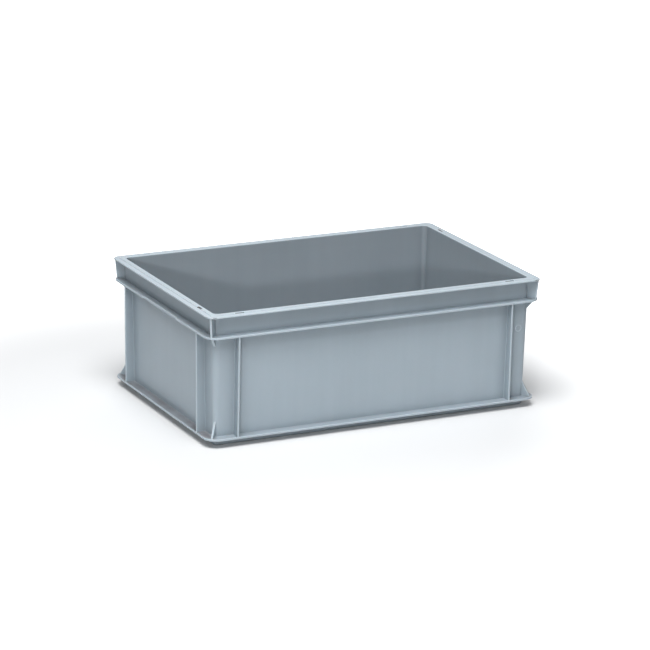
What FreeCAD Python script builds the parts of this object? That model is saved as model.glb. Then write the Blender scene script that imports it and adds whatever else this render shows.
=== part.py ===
import FreeCAD, Part
import math
import os

import Sketcher

# A Euro stacking container, 600 x 400 x 220, moulded in one piece.
# The origin is the middle of the face it stands on: X runs along the long side, Z is up.

SIZES = [
    ("body_length", 600.0, "outside length, over the rim"),
    ("body_width", 400.0, "outside width, over the rim"),
    ("body_height", 220.0, "outside height"),
    ("wall_thick", 3.0, "wall, measured level"),
    ("wall_lean", 5.2, "how far a wall leans out from the foot to the rim"),
    ("wall_corner", 6.5, "outer radius of the upright corners at the foot"),
    ("floor_thick", 3.5, "floor"),
    ("foot_round", 4.5, "outer radius between floor and wall"),
    ("floor_round", 2.5, "inner radius between floor and wall"),
    ("rim_width", 17.0, "rim, from its outer edge to the opening"),
    ("rim_thick", 3.0, "rim plate"),
    ("rim_corner", 13.0, "outer corner radius of the rim"),
    ("rim_edge_round", 1.0, "round on the upper outer edge of the rim"),
    ("mouth_round", 0.8, "round where the rim turns down into the box"),
    ("ledge_inset", 9.0, "from the rim's outer edge to its raised inner band"),
    ("ledge_height", 0.7, "how far the inner band stands above the outer one"),
    ("collar_drop", 35.0, "from the rim top to the top of the collar flange"),
    ("flange_thick", 3.0, "collar flange and base flange"),
    ("flange_corner", 22.0, "corner radius of both flanges"),
    ("base_rise", 13.0, "height of the base flange over the ground"),
    ("base_inset", 2.0, "how far the base flange lies inside the collar flange"),
    ("flange_edge_round", 0.8, "round on the upper outer edges of both flanges"),
    ("root_round", 1.5, "fillet where the ribs meet the wall"),
    ("rib_thick", 3.0, "upright ribs"),
    ("rib_setback", 1.0, "rib edge inside the flange edges"),
    ("rib_edge_round", 0.6, "round on the outer edges of the ribs"),
    ("long_rib_inset", 54.0, "ribs of the long sides, from the end of the box"),
    ("short_rib_inset", 54.0, "ribs of the short sides, from the side of the box"),
    ("fin_thick", 3.0, "corner fins and gussets"),
    ("fin_setback", 1.0, "fin edge inside the rounded corners"),
    ("high_gusset", 17.0, "gusset under the collar flange"),
    ("low_gusset", 27.0, "gusset on the base flange"),
    ("gusset_setback", 3.0, "gusset tip inside the flange corner"),
    ("grip_half", 66.0, "half length of the hand grip"),
    ("grip_ramp", 4.0, "length of the slope at each end of the grip"),
    ("grip_setback", 2.2, "how far the flange is set back at the grip"),
    ("grip_depth", 12.0, "how far the grip reaches below the flange"),
    ("slot_length", 16.0, "lid slots in the rim"),
    ("slot_width", 5.0, "lid slots in the rim"),
    ("slot_depth", 1.6, "lid slots, below the inner band of the rim"),
    ("slot_inset", 10.5, "middle of a slot from the rim's outer edge"),
    ("short_slot_inset", 60.0, "slots of the short sides, from the side of the box"),
    ("long_slot_inset", 57.0, "slots of the long sides, from the end of the box"),
    ("ring_outer", 12.0, "outer diameter of the plain moulded ring"),
    ("ring_inner", 9.0, "inner diameter of the plain moulded ring"),
    ("ring_height", 0.5, "how far the ring stands proud"),
    ("ring_inset", 34.0, "ring, from the end of the box"),
    ("ring_level", 135.0, "ring, height over the ground"),
]

# How far a part of the same solid reaches into the wall that carries it.
ROOT = 1.0

document = FreeCAD.newDocument("container")
sheet = document.addObject("Spreadsheet::Sheet", "sizes")
for row, (alias, value, note) in enumerate(SIZES, start=1):
    sheet.set(f"A{row}", alias)
    sheet.set(f"B{row}", str(value))
    sheet.set(f"C{row}", note)
    sheet.setAlias(f"B{row}", alias)
document.recompute()

body = document.addObject("PartDesign::Body", "Container")
body.Label = "container"


def origin_feature(role):
    """The origin plane or axis of the body that has this role."""
    return next(item for item in body.Origin.OriginFeatures if item.Role == role)


def wall_inset(level):
    """Expression for the wall's outer face, inside the rim's outer edge, at a level."""
    lean = f"sizes.wall_lean * (sizes.body_height - ({level})) / sizes.body_height"
    return f"(sizes.rim_width - sizes.wall_thick + {lean})"


def value_of(expression):
    """The number that an expression has now."""
    return float(sheet.evalExpression(expression))


COLLAR_TOP = "(sizes.body_height - sizes.collar_drop)"
COLLAR_LOW = f"({COLLAR_TOP} - sizes.flange_thick)"
BASE_LOW = "sizes.base_rise"
BASE_TOP = "(sizes.base_rise + sizes.flange_thick)"
OUTER_BAND = "(sizes.body_height - sizes.ledge_height)"
RIM_LOW = "(sizes.body_height - sizes.rim_thick)"
WALL_SLOPE = "atan(sizes.wall_lean / sizes.body_height)"


def new_sketch(name, role, offset=None, turn=None):
    """A sketch on an origin plane; offset is a dictionary of axis to expression."""
    sketch = body.newObject("Sketcher::SketchObject", name)
    sketch.AttachmentSupport = [(origin_feature(role), "")]
    sketch.MapMode = "FlatFace"
    if turn is not None:
        sketch.AttachmentOffset = FreeCAD.Placement(FreeCAD.Vector(), turn)
    for axis, expression in (offset or {}).items():
        sketch.setExpression(f"AttachmentOffset.Base.{axis}", expression)
    return sketch


def constrain(sketch, expression, *arguments):
    """Add a sized constraint whose value follows an expression."""
    index = sketch.addConstraint(Sketcher.Constraint(*arguments, value_of(expression)))
    sketch.setExpression(f"Constraints[{index}]", expression)


def add_outline(sketch, points):
    """A closed outline of straight lines through points given as pairs of expressions."""
    first = sketch.GeometryCount
    places = [FreeCAD.Vector(value_of(x), value_of(y), 0) for x, y in points]
    count = len(places)
    for index in range(count):
        line = Part.LineSegment(places[index], places[(index + 1) % count])
        sketch.addGeometry(line, False)
    for index in range(count):
        follower = first + (index + 1) % count
        sketch.addConstraint(Sketcher.Constraint("Coincident", first + index, 2, follower, 1))
    for index, (x, y) in enumerate(points):
        constrain(sketch, x, "DistanceX", -1, 1, first + index, 1)
        constrain(sketch, y, "DistanceY", -1, 1, first + index, 1)


def add_round_frame(sketch, half_x, half_y, radius):
    """A rectangle with round corners about the sketch's origin."""
    x, y, r = value_of(half_x), value_of(half_y), value_of(radius)
    corners = [(x - r, y - r, 0), (r - x, y - r, 1), (r - x, r - y, 2), (x - r, r - y, 3)]
    for centre_x, centre_y, quarter in corners:
        circle = Part.Circle(FreeCAD.Vector(centre_x, centre_y, 0), FreeCAD.Vector(0, 0, 1), r)
        start = quarter * math.pi / 2
        sketch.addGeometry(Part.ArcOfCircle(circle, start, start + math.pi / 2), False)
    sides = [((x - r, y), (r - x, y)), ((-x, y - r), (-x, r - y)),
             ((r - x, -y), (x - r, -y)), ((x, r - y), (x, y - r))]
    for (start_x, start_y), (end_x, end_y) in sides:
        start = FreeCAD.Vector(start_x, start_y, 0)
        sketch.addGeometry(Part.LineSegment(start, FreeCAD.Vector(end_x, end_y, 0)), False)
    for arc in range(4):
        side = 4 + arc
        sketch.addConstraint(Sketcher.Constraint("Tangent", arc, 2, side, 1))
        sketch.addConstraint(Sketcher.Constraint("Tangent", side, 2, (arc + 1) % 4, 1))
    for side, kind in ((4, "Horizontal"), (5, "Vertical"), (6, "Horizontal"), (7, "Vertical")):
        sketch.addConstraint(Sketcher.Constraint(kind, side))
    for arc in range(1, 4):
        sketch.addConstraint(Sketcher.Constraint("Equal", 0, arc))
    constrain(sketch, radius, "Radius", 0)
    constrain(sketch, half_y, "DistanceY", -1, 1, 4, 1)
    constrain(sketch, half_x, "DistanceX", 5, 1, -1, 1)
    constrain(sketch, half_y, "DistanceY", 6, 1, -1, 1)
    constrain(sketch, half_x, "DistanceX", -1, 1, 7, 1)


def round_frame(name, level, inset, radius):
    """A level sketch of the box's outline, drawn in by an inset."""
    sketch = new_sketch(name, "XY_Plane", {"z": level})
    half_x = f"sizes.body_length / 2 - ({inset})"
    half_y = f"sizes.body_width / 2 - ({inset})"
    add_round_frame(sketch, half_x, half_y, radius)
    return sketch


def volume():
    """The body's volume so far."""
    document.recompute()
    return body.Shape.Volume


def pad(name, sketch, length, symmetric=False):
    """Raise a sketch into material by a length."""
    before = body.Shape.Volume if body.Tip else 0.0
    feature = body.newObject("PartDesign::Pad", name)
    feature.Profile = sketch
    feature.setExpression("Length", length)
    feature.SideType = "Symmetric" if symmetric else "One side"
    if not volume() > before:
        raise RuntimeError(f"{name} adds nothing")
    return feature


def pocket(name, sketch, length):
    """Cut a sketch into the material by a length."""
    before = volume()
    feature = body.newObject("PartDesign::Pocket", name)
    feature.Profile = sketch
    feature.setExpression("Length", length)
    if not volume() < before:
        raise RuntimeError(f"{name} cuts nothing")
    return feature


def round_edges(name, radius, wanted):
    """Fillet the edges of the body for which wanted(edge) is true."""
    base = body.Tip
    edges = [f"Edge{index}" for index, edge in enumerate(base.Shape.Edges, start=1) if wanted(edge)]
    if not edges:
        raise RuntimeError(f"{name} finds no edges")
    feature = body.newObject("PartDesign::Fillet", name)
    feature.Base = (base, edges)
    feature.setExpression("Radius", radius)
    document.recompute()
    return feature


def lies_level(edge, level):
    """Whether the whole edge lies at one level."""
    box = edge.BoundBox
    return abs(box.ZMin - level) < 0.001 and abs(box.ZMax - level) < 0.001


def wall_gap(point):
    """How far a point lies outside the wall's outer face, as a number."""
    level = point.z
    inset = value_of(wall_inset(level))
    radius = value_of(f"sizes.wall_corner + sizes.wall_lean * {level} / sizes.body_height")
    past_x = abs(point.x) - (value_of("sizes.body_length / 2") - inset - radius)
    past_y = abs(point.y) - (value_of("sizes.body_width / 2") - inset - radius)
    if past_x > 0 and past_y > 0:
        return math.hypot(past_x, past_y) - radius
    return max(past_x, past_y) - radius


def edge_points(edge):
    """The start, middle and end of an edge."""
    first, last = edge.FirstParameter, edge.LastParameter
    return [edge.valueAt(first), edge.valueAt((first + last) / 2), edge.valueAt(last)]


def on_wall(edge):
    """Whether an edge runs along the wall's outer face."""
    return all(abs(wall_gap(point)) < 0.02 for point in edge_points(edge))


def spread(name, originals):
    """Repeat features in all four quarters, mirrored across both middle planes."""
    across = body.newObject("PartDesign::Mirrored", f"{name}Across")
    across.MirrorPlane = (origin_feature("YZ_Plane"), [""])
    along = body.newObject("PartDesign::Mirrored", f"{name}Along")
    along.MirrorPlane = (origin_feature("XZ_Plane"), [""])
    every = body.newObject("PartDesign::MultiTransform", name)
    every.Originals = originals
    every.Transformations = [across, along]
    body.Tip = every
    document.recompute()
    return every


def mirror(name, originals):
    """Repeat features at the other short side."""
    feature = body.newObject("PartDesign::Mirrored", name)
    feature.Originals = originals
    feature.MirrorPlane = (origin_feature("YZ_Plane"), [""])
    body.Tip = feature
    document.recompute()


def make_walls():
    """The solid block inside the walls' outer faces, from the ground to the rim."""
    foot = round_frame("WallFoot", "0", wall_inset("0"), "sizes.wall_corner")
    walls = pad("Walls", foot, RIM_LOW)
    walls.setExpression("TaperAngle", WALL_SLOPE)
    document.recompute()
    round_edges("FootRound", "sizes.foot_round", lambda edge: lies_level(edge, 0.0))


def make_rim():
    """The rim plate, its rounded outer edge and the raised inner band."""
    outline = round_frame("RimOutline", RIM_LOW, "0", "sizes.rim_corner")
    pad("Rim", outline, "sizes.rim_thick - sizes.ledge_height")
    rim_top = value_of(OUTER_BAND)

    def at_rim_edge(edge):
        outside = all(wall_gap(point) > 5 for point in edge_points(edge))
        return outside and lies_level(edge, rim_top)

    round_edges("RimEdge", "sizes.rim_edge_round", at_rim_edge)
    band_corner = "max(2; sizes.rim_corner - sizes.ledge_inset)"
    band = round_frame("BandOutline", OUTER_BAND, "sizes.ledge_inset", band_corner)
    pad("Band", band, "sizes.ledge_height")


def make_flanges():
    """The collar flange under the rim and the base flange above the foot."""
    collar = round_frame("CollarOutline", COLLAR_LOW, "0", "sizes.flange_corner")
    pad("CollarFlange", collar, "sizes.flange_thick")
    base = round_frame("BaseOutline", BASE_LOW, "sizes.base_inset", "sizes.flange_corner")
    pad("BaseFlange", base, "sizes.flange_thick")
    collar_top, base_top = value_of(COLLAR_TOP), value_of(BASE_TOP)

    def at_flange_edge(edge):
        outside = all(wall_gap(point) > 5 for point in edge_points(edge))
        return outside and (lies_level(edge, collar_top) or lies_level(edge, base_top))

    round_edges("FlangeEdges", "sizes.flange_edge_round", at_flange_edge)


def rib_profile(half, root_low, root_high):
    """A rib's outline between the flanges, from inside the wall to the flange edges."""
    low, high = f"({BASE_TOP} - {ROOT})", f"({COLLAR_LOW} + {ROOT})"
    edge_low = f"{half} - sizes.base_inset - sizes.rib_setback"
    edge_high = f"{half} - sizes.rib_setback"
    return [
        (f"{half} - {root_low}", low),
        (edge_low, low),
        (edge_high, high),
        (f"{half} - {root_high}", high),
    ]


def make_ribs():
    """One upright rib on a long side and one on a short side, near a corner."""
    root_low = f"({wall_inset(BASE_TOP)} + {ROOT})"
    root_high = f"({wall_inset(COLLAR_LOW)} + {ROOT})"
    long_side = new_sketch("LongRibOutline", "YZ_Plane",
                           {"z": "sizes.body_length / 2 - sizes.long_rib_inset"})
    add_outline(long_side, rib_profile("sizes.body_width / 2", root_low, root_high))
    long_rib = pad("LongRib", long_side, "sizes.rib_thick", symmetric=True)
    short_side = new_sketch("ShortRibOutline", "XZ_Plane",
                            {"z": "sizes.short_rib_inset - sizes.body_width / 2"})
    add_outline(short_side, rib_profile("sizes.body_length / 2", root_low, root_high))
    short_rib = pad("ShortRib", short_side, "sizes.rib_thick", symmetric=True)
    return [long_rib, short_rib]


def corner_distance(inset, radius):
    """Distance along the diagonal from the sheet's sharp corner to a rounded one."""
    return f"(({inset}) * sqrt(2) + ({radius}) * (sqrt(2) - 1))"


def inside_wall(level):
    """Diagonal distance to just inside the wall's upright corner, at a level."""
    radius = f"sizes.wall_corner + sizes.wall_lean * ({level}) / sizes.body_height"
    return f"({corner_distance(wall_inset(level), radius)} + {ROOT})"


def make_fin():
    """The diagonal fin between rim and collar flange, and the gussets below it."""
    turn = FreeCAD.Rotation(FreeCAD.Vector(0, 1, 0), 45)
    shift = "(sizes.body_length - sizes.body_width) / 2"
    sketch = new_sketch("FinOutline", "XZ_Plane", {"x": shift}, turn)
    corner = "sizes.body_width / 2 * sqrt(2)"

    def out(distance):
        return f"{corner} - {distance}"

    rim_tip = f"({corner_distance('0', 'sizes.rim_corner')} + sizes.fin_setback)"
    flange_tip = f"({corner_distance('0', 'sizes.flange_corner')} + sizes.fin_setback)"
    base_tip = f"({corner_distance('sizes.base_inset', 'sizes.flange_corner')} + sizes.gusset_setback)"
    high_end = f"({COLLAR_LOW} - sizes.high_gusset)"
    low_end = f"({BASE_TOP} + sizes.low_gusset)"
    wall_high = inside_wall(RIM_LOW)
    wall_mid = inside_wall(high_end)
    wall_low = inside_wall(low_end)
    wall_base = inside_wall(BASE_TOP)
    add_outline(sketch, [
        (out(wall_high), f"({RIM_LOW} + {ROOT})"),
        (out(rim_tip), f"({RIM_LOW} + {ROOT})"),
        (out(flange_tip), f"({COLLAR_TOP} - {ROOT})"),
        (out(f"({flange_tip} + sizes.gusset_setback)"), COLLAR_LOW),
        (out(wall_mid), high_end),
    ])
    add_outline(sketch, [
        (out(wall_base), f"({BASE_TOP} - {ROOT})"),
        (out(base_tip), f"({BASE_TOP} - {ROOT})"),
        (out(wall_low), low_end),
    ])
    return pad("CornerFin", sketch, "sizes.fin_thick", symmetric=True)


def make_grips():
    """The hand grip: a flange set back and carried down to the wall, at both short sides."""
    half = "sizes.body_length / 2"
    cut = new_sketch("GripCutOutline", "XY_Plane", {"z": COLLAR_TOP})
    wide = "(sizes.grip_half + sizes.grip_ramp)"
    add_outline(cut, [
        (f"{half} - sizes.grip_setback", "-sizes.grip_half"),
        (f"{half} + {ROOT}", f"-{wide} - {ROOT} * sizes.grip_ramp / sizes.grip_setback"),
        (f"{half} + {ROOT}", f"{wide} + {ROOT} * sizes.grip_ramp / sizes.grip_setback"),
        (f"{half} - sizes.grip_setback", "sizes.grip_half"),
    ])
    near_cut = pocket("GripCut", cut, "sizes.flange_thick")
    mirror("GripCuts", [near_cut])
    low_end = f"({COLLAR_LOW} - sizes.grip_depth)"
    side = new_sketch("GripOutline", "XZ_Plane")
    add_outline(side, [
        (f"{half} - {wall_inset(low_end)} - {ROOT}", low_end),
        (f"{half} - {wall_inset(low_end)}", low_end),
        (f"{half} - sizes.grip_setback", f"({COLLAR_TOP} - sizes.flange_thick / 3)"),
        (f"{half} - {wall_inset(COLLAR_TOP)} - {ROOT}", f"({COLLAR_TOP} - sizes.flange_thick / 3)"),
    ])
    near_grip = pad("Grip", side, "2 * sizes.grip_half", symmetric=True)
    mirror("Grips", [near_grip])


def make_rounds():
    """Fillets where the ribs meet the wall, then rounds on the ribs' outer edges."""
    rib_rise = value_of(f"{COLLAR_LOW} - {BASE_TOP}")
    rib_x = value_of("sizes.body_length / 2 - sizes.long_rib_inset")
    rib_y = value_of("sizes.body_width / 2 - sizes.short_rib_inset")
    near = value_of("sizes.rib_thick")

    def runs_up_rib(edge):
        middle = edge_points(edge)[1]
        beside = abs(abs(middle.x) - rib_x) < near or abs(abs(middle.y) - rib_y) < near
        return beside and edge.BoundBox.ZLength > rib_rise / 2

    def at_rib_root(edge):
        return runs_up_rib(edge) and on_wall(edge)

    def at_rib_edge(edge):
        return runs_up_rib(edge) and all(wall_gap(point) > 8 for point in edge_points(edge))

    round_edges("RibRoots", "sizes.root_round", at_rib_root)
    round_edges("RibEdges", "sizes.rib_edge_round", at_rib_edge)


def make_cavity():
    """The inside of the box, with a round all along the floor."""
    corner = "sizes.wall_corner + sizes.wall_lean - sizes.wall_thick"
    mouth = round_frame("CavityMouth", "sizes.body_height", "sizes.rim_width", corner)
    cavity = pocket("Cavity", mouth, "sizes.body_height - sizes.floor_thick")
    cavity.setExpression("TaperAngle", f"-{WALL_SLOPE}")
    document.recompute()
    floor = value_of("sizes.floor_thick")
    round_edges("FloorRound", "sizes.floor_round", lambda edge: lies_level(edge, floor))
    top = value_of("sizes.body_height")
    reach = value_of("sizes.body_length / 2 - sizes.ledge_inset") - 0.001
    reach_across = value_of("sizes.body_width / 2 - sizes.ledge_inset") - 0.001

    def at_mouth(edge):
        box = edge.BoundBox
        inside = max(-box.XMin, box.XMax) < reach and max(-box.YMin, box.YMax) < reach_across
        return lies_level(edge, top) and inside

    round_edges("MouthRound", "sizes.mouth_round", at_mouth)


def slot_outline(name, centre_x, centre_y, size_x, size_y):
    """A slot's rectangle on the rim top."""
    sketch = new_sketch(name, "XY_Plane", {"z": "sizes.body_height"})
    left, right = f"{centre_x} - {size_x} / 2", f"{centre_x} + {size_x} / 2"
    near, far = f"{centre_y} - {size_y} / 2", f"{centre_y} + {size_y} / 2"
    add_outline(sketch, [(left, near), (right, near), (right, far), (left, far)])
    return sketch


def make_slots():
    """Lid slots: one in each short rim, turned about the middle, and four in the long rims."""
    short = slot_outline("ShortSlotOutline", "sizes.body_length / 2 - sizes.slot_inset",
                         "sizes.body_width / 2 - sizes.short_slot_inset",
                         "sizes.slot_width", "sizes.slot_length")
    first = pocket("ShortSlot", short, "sizes.slot_depth")
    turned = body.newObject("PartDesign::PolarPattern", "ShortSlots")
    turned.Originals = [first]
    turned.Axis = (origin_feature("Z_Axis"), [""])
    turned.Angle = 360
    turned.Occurrences = 2
    body.Tip = turned
    document.recompute()
    long_side = slot_outline("LongSlotOutline", "sizes.body_length / 2 - sizes.long_slot_inset",
                             "sizes.body_width / 2 - sizes.slot_inset",
                             "sizes.slot_length", "sizes.slot_width")
    corner_slot = pocket("LongSlot", long_side, "sizes.slot_depth")
    spread("LongSlots", [corner_slot])


def make_ring():
    """A plain raised ring in the panel right of the front rib."""
    face = f"(sizes.body_width / 2 - {wall_inset('sizes.ring_level')})"
    sketch = new_sketch("RingOutline", "XZ_Plane", {"z": f"{face} - {ROOT}"})
    shift = "sizes.body_length / 2 - sizes.ring_inset"
    for index, diameter in enumerate(("sizes.ring_outer", "sizes.ring_inner")):
        centre = FreeCAD.Vector(value_of(shift), value_of("sizes.ring_level"), 0)
        circle = Part.Circle(centre, FreeCAD.Vector(0, 0, 1), value_of(diameter) / 2)
        sketch.addGeometry(circle, False)
        constrain(sketch, f"{diameter} / 2", "Radius", index)
        constrain(sketch, shift, "DistanceX", -1, 1, index, 3)
        constrain(sketch, "sizes.ring_level", "DistanceY", -1, 1, index, 3)
    pad("Ring", sketch, f"sizes.ring_height + {ROOT}")


make_walls()
make_rim()
make_flanges()
spread("RibsAndFins", make_ribs() + [make_fin()])
make_grips()
make_rounds()
make_cavity()
make_slots()
make_ring()
document.recompute()

for item in document.Objects:
    if "Invalid" in item.State or "Error" in item.State:
        raise RuntimeError(f"{item.Name} did not build: {item.State}")
if body.Shape.isNull() or not body.Shape.isValid() or len(body.Shape.Solids) != 1:
    raise RuntimeError("the container is not one valid solid")

os.makedirs("parts", exist_ok=True)
body.Shape.exportStep(f"parts/{body.Label}.step")
print("volume", round(body.Shape.Volume / 1000, 1), "cubic centimetres")
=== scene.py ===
from math import cos, sin, radians

import bpy
from mathutils import Matrix, Vector


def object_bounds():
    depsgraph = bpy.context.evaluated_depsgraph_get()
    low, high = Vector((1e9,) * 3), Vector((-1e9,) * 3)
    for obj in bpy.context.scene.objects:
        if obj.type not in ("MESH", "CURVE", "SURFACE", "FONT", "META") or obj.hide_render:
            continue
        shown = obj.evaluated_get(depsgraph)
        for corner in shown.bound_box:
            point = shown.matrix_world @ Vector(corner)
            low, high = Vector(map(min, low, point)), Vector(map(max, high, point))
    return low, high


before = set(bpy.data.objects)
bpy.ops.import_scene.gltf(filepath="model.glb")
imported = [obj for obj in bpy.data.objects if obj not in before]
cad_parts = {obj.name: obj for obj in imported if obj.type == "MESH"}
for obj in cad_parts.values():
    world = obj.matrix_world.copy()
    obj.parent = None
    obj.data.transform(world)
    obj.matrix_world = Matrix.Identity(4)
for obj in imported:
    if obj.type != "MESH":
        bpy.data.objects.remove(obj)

cadBox = [list(corner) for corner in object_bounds()]
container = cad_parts["container"]


# Node helpers: a spot is a column and row in the editor, a value is a number or a socket

columnStep, rowStep = 220, 180
testRays = 8    # sent out by each test for a corner, ledge or edge


def addNode(tree, kind, spot, **settings):
    node = tree.nodes.new(kind)
    node.location = (spot[0] * columnStep, spot[1] * rowStep)
    for name, value in settings.items():
        if name.startswith("in_"):
            node.inputs[name[3:].replace("_", " ")].default_value = value
        else:
            setattr(node, name, value)
    return node


def feed(tree, sockets, values):
    for socket, value in zip(sockets, values):
        if isinstance(value, bpy.types.NodeSocket):
            tree.links.new(value, socket)
        else:
            socket.default_value = value


def calculate(tree, operation, spot, *values):
    node = addNode(tree, "ShaderNodeMath", spot, operation=operation)
    feed(tree, node.inputs, values)
    return node.outputs["Value"]


def calculateVector(tree, operation, spot, *values):
    node = addNode(tree, "ShaderNodeVectorMath", spot, operation=operation)
    feed(tree, node.inputs, values)
    return node.outputs["Value" if operation in ("LENGTH", "DISTANCE") else "Vector"]


def split(tree, vector, spot):
    node = addNode(tree, "ShaderNodeSeparateXYZ", spot)
    tree.links.new(vector, node.inputs["Vector"])
    return node.outputs


def remap(tree, value, spot, fromRange, toRange=(0, 1), **settings):
    node = addNode(tree, "ShaderNodeMapRange", spot, **settings)
    feed(tree, node.inputs[:5], (value, *fromRange, *toRange))
    return node.outputs["Result"]


def blend(tree, factor, first, second, spot, blendType="MIX"):
    node = addNode(tree, "ShaderNodeMix", spot, data_type="RGBA", blend_type=blendType)
    feed(tree, (node.inputs["Factor"], node.inputs[6], node.inputs[7]), (factor, first, second))
    return node.outputs[2]


def noise(tree, vector, spot, scale, detail, roughness=0.5):
    node = addNode(tree, "ShaderNodeTexNoise", spot, in_Scale=scale, in_Detail=detail,
                   in_Roughness=roughness)
    tree.links.new(vector, node.inputs["Vector"])
    return node.outputs["Fac"]


def nearness(tree, reach, spot, inside=False):
    return addNode(tree, "ShaderNodeAmbientOcclusion", spot, samples=testRays, inside=inside,
                   in_Distance=reach)


def bump(tree, height, normal, depth, spot):
    node = addNode(tree, "ShaderNodeBump", spot, in_Strength=1, in_Distance=depth)
    feed(tree, (node.inputs["Height"], node.inputs["Normal"]), (height, normal))
    return node.outputs["Normal"]


def chooseShader(tree, factor, first, second, spot):
    node = addNode(tree, "ShaderNodeMixShader", spot)
    feed(tree, node.inputs, (factor, first, second))
    return node.outputs["Shader"]


def newMaterial(name):
    material = bpy.data.materials.new(name)
    material.use_nodes = True
    material.node_tree.nodes.clear()
    return material, material.node_tree


# Plastic, with lengths in metres

plastic = {
    "colour": (0.335, 0.400, 0.450, 1),       # blue-grey, as the panels show it
    "lighter": (0.365, 0.432, 0.484, 1),      # where the pigment is a little thinner
    "colourWindow": (0.35, 0.65),             # noise levels at which the one and the other are full
    "driftScale": 7,                          # slow colour drift
    "streakScale": (60, 60, 4),               # streaks that run up the walls as the melt flowed
    "streakShare": 0.3,

    "roughness": 0.44,
    "roughnessSpread": (-0.04, 0.05),         # gloss varies a little with the grain of the mould
    "glossWindow": (0.3, 0.7),
    "refraction": 1.49, "specular": 0.5,
    "glow": 0.04, "glowDepth": 0.002,         # a little light goes into the plastic

    "edgeRadius": 0.0006,                     # edges that the mould leaves soft
    "grainSize": 0.0007, "grainDepth": 0.00002,    # fine spark-eroded grain
    "waveSize": 0.09, "waveDepth": 0.00022,   # slow ripple of a cooled flat wall

    "cornerReach": 0.024,                     # grime and painted shade held in the inner corners
    "cornerOpen": 0.40, "cornerGrimeAndShadeTone": 0.71,   # how open the darkest corners are, and their tone
    "cornerLift": 0.8,                        # more of it under an overhang than above a ledge

    "upward": (0.6, 0.92),                    # slopes on which dust and painted shade begin to lie, and lie fully
    # dust and painted shade on sheltered ledges, in this dark colour
    "dustAndShade": (0.125, 0.117, 0.122, 1),
    "dustAndShadeReach": 0.035, "dustAndShadeShelter": (0.92, 0.68), "dustAndShadeAmount": 0.95,
    "patchScale": 38, "patchDetail": 4, "patchRoughness": 0.6,
    "patchWindow": (0.35, 0.6), "patchLeast": 0.75,
    "endStart": (0.278, 0.286),               # where the ends begin, from the middle
    "longSideShare": 0.30,                    # the long sides take less of the dust and painted shade than the ends
    "dustAndShadeLevels": (0.02, 0.18),               # heights of the foot and of the collar
    "collarShare": 0.45,                      # and the collar takes less of it than the foot

    "insideShadeTone": (0.725, 0.705, 0.70, 1),    # painted shade that darkens the inside
    "insideHalf": (0.2793, 0.1793),           # halfway through the walls, at the foot
    "insideCorner": 0.008,
    "insideLean": 0.0236,                     # how far the walls lean out on each metre of height
    "mouthLevel": (0.2195, 0.2175),           # the painted shade fades in just below the mouth
    "floorLevel": 0.0018,                     # halfway through the floor

    "edgeHighlight": (0.60, 0.68, 0.73, 1),          # painted highlight along the edges
    "edgeHighlightReach": 0.0017, "edgeHighlightWindow": (0.95, 0.6), "edgeHighlightAmount": 0.75,

    "slotDirtAndShade": (0.045, 0.048, 0.052, 1),     # dirt and painted shade in the lid slots, more of it at the ends
    "endSlotAmount": 0.9, "longSlotAmount": 0.45,
    "slotInset": 0.0105, "slotHalf": 0.0032,  # middle of the slots from the rim's outer edge
    "slotLevel": 0.21865, "slotRise": 0.00045,    # middle of their depth, and half of it
}


# where the inside's painted shade falls: within the walls, below the mouth and above the floor
def insideShadeMask(tree, position):
    level = split(tree, position, (-9, -5))["Z"]
    lean = calculate(tree, "MULTIPLY", (-8, -5), level, plastic["insideLean"])
    leanBoth = addNode(tree, "ShaderNodeCombineXYZ", (-7, -5))
    feed(tree, leanBoth.inputs, (lean, lean))

    # distance beyond a rectangle, so that the corners are round; height plays no part in it
    quarter = calculateVector(tree, "ABSOLUTE", (-8, -4), position)
    upright = calculateVector(tree, "SUBTRACT", (-6, -4), quarter, leanBoth.outputs["Vector"])
    straight = [half - plastic["insideCorner"] for half in plastic["insideHalf"]]
    past = calculateVector(tree, "SUBTRACT", (-5, -4), upright, (*straight, 1))
    beyond = calculateVector(tree, "MAXIMUM", (-4, -4), past, (0, 0, 0))
    distance = calculateVector(tree, "LENGTH", (-3, -4), beyond)
    within = calculate(tree, "LESS_THAN", (-2, -4), distance, plastic["insideCorner"])

    belowMouth = remap(tree, level, (-2, -5), plastic["mouthLevel"])
    aboveFloor = calculate(tree, "GREATER_THAN", (-2, -6), level, plastic["floorLevel"])
    both = calculate(tree, "MULTIPLY", (-1, -4), within, belowMouth)
    return calculate(tree, "MULTIPLY", (0, -4), both, aboveFloor)


# where the lid slots' dirt and painted shade go
def slotMask(tree, position):
    parts = split(tree, position, (-3, 11))
    amounts = []
    for row, axis, reach, amount in ((11, "X", cadBox[1][0], plastic["endSlotAmount"]),
                                     (12, "Y", cadBox[1][1], plastic["longSlotAmount"])):
        fromMiddle = calculate(tree, "ABSOLUTE", (-2, row), parts[axis])
        middle = reach - plastic["slotInset"]
        inSlot = calculate(tree, "COMPARE", (-1, row), fromMiddle, middle, plastic["slotHalf"])
        amounts.append(calculate(tree, "MULTIPLY", (0, row), inSlot, amount))
    either = calculate(tree, "MAXIMUM", (1, 11), *amounts)
    belowRim = calculate(tree, "COMPARE", (-1, 10), parts["Z"], plastic["slotLevel"], plastic["slotRise"])
    return calculate(tree, "MULTIPLY", (2, 10), either, belowRim)


# dust and painted shade on ledges, heavier where a ledge is sheltered, at the ends and at the foot
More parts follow.
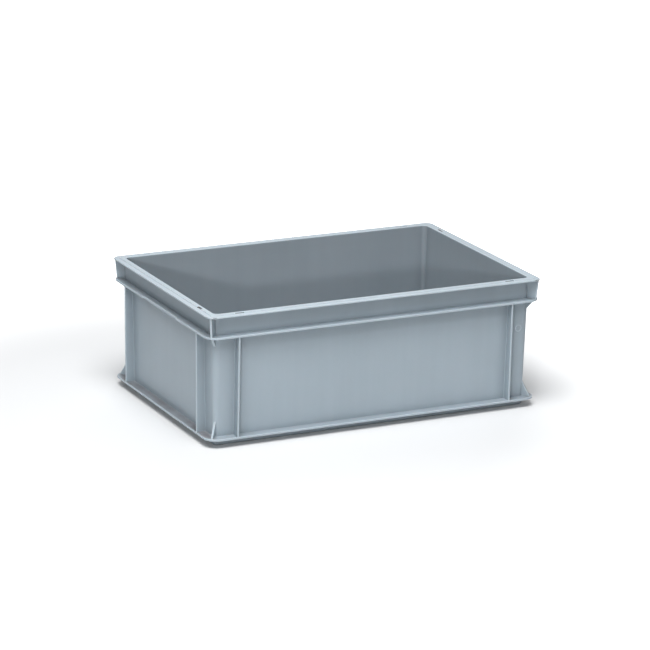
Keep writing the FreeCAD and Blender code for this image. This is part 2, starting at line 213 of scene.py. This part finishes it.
def dustAndShadeMask(tree, position, upward):
    shelter = nearness(tree, plastic["dustAndShadeReach"], (-2, 7)).outputs["AO"]
    shelteredShare = remap(tree, shelter, (-1, 7), plastic["dustAndShadeShelter"], (0, plastic["dustAndShadeAmount"]))
    patches = noise(tree, position, (-2, 9), plastic["patchScale"], plastic["patchDetail"],
                    plastic["patchRoughness"])
    patchy = remap(tree, patches, (-1, 9), plastic["patchWindow"], (plastic["patchLeast"], 1))
    parts = split(tree, position, (-3, 7))
    fromMiddle = calculate(tree, "ABSOLUTE", (-2, 6), parts["X"])
    bySide = remap(tree, fromMiddle, (-1, 6), plastic["endStart"], (plastic["longSideShare"], 1))
    byHeight = remap(tree, parts["Z"], (-1, 5), plastic["dustAndShadeLevels"], (1, plastic["collarShare"]))
    mask = calculate(tree, "MULTIPLY", (0, 6), bySide, byHeight)
    for column, factor in enumerate((shelteredShare, upward, patchy), start=1):
        mask = calculate(tree, "MULTIPLY", (column, 8), mask, factor)
    return mask


# the plastic's colour with grime, dust and dirt, and with painted shade and a painted highlight
def wornAndPaintedLightColour(tree, colour, position, normal):
    # grime and painted shade in corners and under overhangs, which spares what faces up
    upward = remap(tree, split(tree, normal, (-2, 8))["Z"], (-1, 8), plastic["upward"])
    # painted shade: the corner test leans upward, so an overhang darkens what lies below it
    lifted = calculateVector(tree, "ADD", (-2, 6), normal, (0, 0, plastic["cornerLift"]))
    corner = nearness(tree, plastic["cornerReach"], (0, 5))
    tree.links.new(calculateVector(tree, "NORMALIZE", (-1, 6), lifted), corner.inputs["Normal"])
    tone = remap(tree, corner.outputs["AO"], (1, 5), (plastic["cornerOpen"], 1),
                 (plastic["cornerGrimeAndShadeTone"], 1))
    spared = calculate(tree, "MAXIMUM", (2, 5), tone, upward)
    grimyAndShaded = addNode(tree, "ShaderNodeVectorMath", (2, 4), operation="SCALE")
    feed(tree, (grimyAndShaded.inputs[0], grimyAndShaded.inputs["Scale"]), (colour, spared))

    # dust and painted shade on sheltered ledges
    dustAndShade = dustAndShadeMask(tree, position, upward)
    dustyAndShaded = blend(tree, dustAndShade, grimyAndShaded.outputs["Vector"], plastic["dustAndShade"], (3, 5))
    # painted shade over the inside
    inside = insideShadeMask(tree, position)
    insideShaded = blend(tree, inside, dustyAndShaded, plastic["insideShadeTone"], (3, 4), "MULTIPLY")

    # painted highlight: convex edges made paler
    edge = nearness(tree, plastic["edgeHighlightReach"], (0, 6), inside=True).outputs["AO"]
    highlightShare = remap(tree, edge, (1, 6), plastic["edgeHighlightWindow"], (0, plastic["edgeHighlightAmount"]))
    highlighted = blend(tree, highlightShare, insideShaded, plastic["edgeHighlight"], (4, 4))
    # dirt and painted shade in the lid slots
    return blend(tree, slotMask(tree, position), highlighted, plastic["slotDirtAndShade"], (5, 4))


def plasticMaterial():
    material, tree = newMaterial("blue_grey_plastic")
    place = addNode(tree, "ShaderNodeTexCoord", (-6, 0)).outputs
    position = place["Object"]

    # slow colour drift, and streaks up the walls
    drift = noise(tree, position, (-4, 2), plastic["driftScale"], detail=3)
    stretched = addNode(tree, "ShaderNodeMapping", (-5, 1), in_Scale=plastic["streakScale"])
    tree.links.new(position, stretched.inputs["Vector"])
    streak = noise(tree, stretched.outputs["Vector"], (-4, 1), scale=1, detail=2)
    both = addNode(tree, "ShaderNodeMix", (-3, 2), data_type="FLOAT", in_Factor=plastic["streakShare"])
    feed(tree, (both.inputs["A"], both.inputs["B"]), (drift, streak))
    share = remap(tree, both.outputs["Result"], (-2, 2), plastic["colourWindow"])
    colour = blend(tree, share, plastic["colour"], plastic["lighter"], (-1, 2))

    gloss = remap(tree, drift, (-1, 0), plastic["glossWindow"],
                  [plastic["roughness"] + spread for spread in plastic["roughnessSpread"]])

    # rounded edges, then slow ripple, then fine grain
    edge = addNode(tree, "ShaderNodeBevel", (-4, -2), samples=testRays, in_Radius=plastic["edgeRadius"])
    wave = noise(tree, position, (-4, -1), 1 / plastic["waveSize"], detail=1)
    rippled = bump(tree, wave, edge.outputs["Normal"], plastic["waveDepth"], (-3, -2))
    grain = noise(tree, position, (-3, -1), 1 / plastic["grainSize"], detail=2)
    grained = bump(tree, grain, rippled, plastic["grainDepth"], (-2, -2))

    shader = addNode(tree, "ShaderNodeBsdfPrincipled", (0, 0), in_IOR=plastic["refraction"],
                     in_Specular_IOR_Level=plastic["specular"], in_Subsurface_Weight=plastic["glow"],
                     in_Subsurface_Scale=plastic["glowDepth"])
    feed(tree, (shader.inputs["Base Color"], shader.inputs["Roughness"], shader.inputs["Normal"]),
         (wornAndPaintedLightColour(tree, colour, position, place["Normal"]), gloss, grained))
    output = addNode(tree, "ShaderNodeOutputMaterial", (1, 0))
    tree.links.new(shader.outputs["BSDF"], output.inputs["Surface"])
    return material


container.data.materials.clear()
container.data.materials.append(plasticMaterial())
print("container: plastic set")


# Floor and light

studio = {
    "floorSize": 14.0,
    "floorColour": (0.68, 0.69, 0.70, 1),
    "floorGlow": (0.05, 1.0),              # what the camera alone sees of the floor, near and far
    "glowReach": (0.45, 1.1),              # where near ends and far begins, for a white sweep
    "glowMiddle": (-0.22, -0.05, 0),
    "skyStrength": 0.09,
    "aimHeight": 0.12,
    "lamps": {    # turn is in degrees from the front, to the right
        "key": {"turn": -33, "rise": 10.5, "distance": 4.2, "size": 0.18, "power": 42},
        "top": {"turn": -38, "rise": 66, "distance": 2.8, "size": 1.8, "power": 108},
        "back": {"turn": 155, "rise": 38, "distance": 3.4, "size": 2.0, "power": 30},
    },
}


def towards(turn, rise):
    turn, rise = radians(turn), radians(rise)
    return Vector((sin(turn) * cos(rise), -cos(turn) * cos(rise), sin(rise)))


def floorMaterial():
    material, tree = newMaterial("pale_floor")
    paint = addNode(tree, "ShaderNodeBsdfDiffuse", (-2, 1), in_Color=studio["floorColour"])
    matte = paint.outputs["BSDF"]
    place = addNode(tree, "ShaderNodeTexCoord", (-5, -1))
    reach = calculateVector(tree, "DISTANCE", (-4, -1), place.outputs["Object"], studio["glowMiddle"])
    glow = remap(tree, reach, (-3, -1), studio["glowReach"], studio["floorGlow"],
                 interpolation_type="SMOOTHSTEP")
    white = addNode(tree, "ShaderNodeEmission", (-2, -1))
    tree.links.new(glow, white.inputs["Strength"])
    seen = addNode(tree, "ShaderNodeAddShader", (-1, 0))
    feed(tree, seen.inputs, (matte, white.outputs["Emission"]))
    rays = addNode(tree, "ShaderNodeLightPath", (-2, 2))
    choice = chooseShader(tree, rays.outputs["Is Camera Ray"], matte, seen.outputs["Shader"], (0, 1))
    output = addNode(tree, "ShaderNodeOutputMaterial", (1, 0))
    tree.links.new(choice, output.inputs["Surface"])
    return material


def layFloor():
    bpy.ops.mesh.primitive_plane_add(size=studio["floorSize"], location=(0, 0, 0))
    floor = bpy.context.object
    floor.name = "floor"
    floor.data.materials.append(floorMaterial())


def setSky():
    world = bpy.data.worlds.new("studio")
    bpy.context.scene.world = world
    world.use_nodes = True
    tree = world.node_tree
    tree.nodes.clear()
    soft = addNode(tree, "ShaderNodeBackground", (-1, 1), in_Color=(1, 1, 1, 1),
                   in_Strength=studio["skyStrength"])
    white = addNode(tree, "ShaderNodeBackground", (-1, 0), in_Color=(1, 1, 1, 1))
    rays = addNode(tree, "ShaderNodeLightPath", (-3, 2)).outputs
    seen = calculate(tree, "MAXIMUM", (-2, 2), rays["Is Camera Ray"], rays["Is Transmission Ray"])
    choice = chooseShader(tree, seen, soft.outputs["Background"], white.outputs["Background"], (0, 1))
    output = addNode(tree, "ShaderNodeOutputWorld", (1, 0))
    tree.links.new(choice, output.inputs["Surface"])


def softBox(name, turn, rise, distance, size, power):
    light = bpy.data.lights.new(name, "AREA")
    light.shape = "SQUARE"
    light.size = size
    light.energy = power
    lamp = bpy.data.objects.new(name, light)
    bpy.context.scene.collection.objects.link(lamp)
    away = towards(turn, rise)
    place = Vector((0, 0, studio["aimHeight"])) + away * distance
    lamp.matrix_world = Matrix.Translation(place) @ away.to_track_quat("Z", "Y").to_matrix().to_4x4()


layFloor()
setSky()
for name, lamp in studio["lamps"].items():
    softBox(name, **lamp)
print("studio: floor, sky and lamps set")


# Camera, fitted to the rim and flange lines of the photograph

view = {
    "turn": -26.22,          # degrees from the front, to the right
    "rise": 16.42,
    "roll": 1.02,
    "distance": 5.522,       # from the point at mid height
    "midHeight": 0.11,
    "frame": 650,            # width in pixels
    "centreX": 324.3, "centreY": 331.0,    # where that point stands in the frame
    "focalPixels": 3313.6,
    "sensorWidth": 36,
    "farthest": 50,
}


def setCamera():
    turn, roll = radians(view["turn"]), radians(view["roll"])
    back = towards(view["turn"], view["rise"])
    right = Vector((cos(turn), sin(turn), 0))
    up = back.cross(right)
    tiltRight = right * cos(roll) + up * sin(roll)
    tiltUp = up * cos(roll) - right * sin(roll)
    perPixel = view["distance"] / view["focalPixels"]
    offX = (view["centreX"] - view["frame"] / 2) * perPixel
    offY = (view["centreY"] - view["frame"] / 2) * perPixel
    middle = Vector((0, 0, view["midHeight"]))
    place = middle + back * view["distance"] - tiltRight * offX + tiltUp * offY
    lens = bpy.data.cameras.new("camera")
    lens.sensor_width = view["sensorWidth"]
    lens.lens = view["sensorWidth"] * view["focalPixels"] / view["frame"]
    lens.clip_end = view["farthest"]
    camera = bpy.data.objects.new("camera", lens)
    bpy.context.scene.collection.objects.link(camera)
    turned = Matrix((tiltRight, tiltUp, back)).transposed().to_4x4()
    camera.matrix_world = Matrix.Translation(place) @ turned
    bpy.context.scene.camera = camera


setCamera()
bpy.context.scene.view_settings.view_transform = "Standard"
print("camera set")
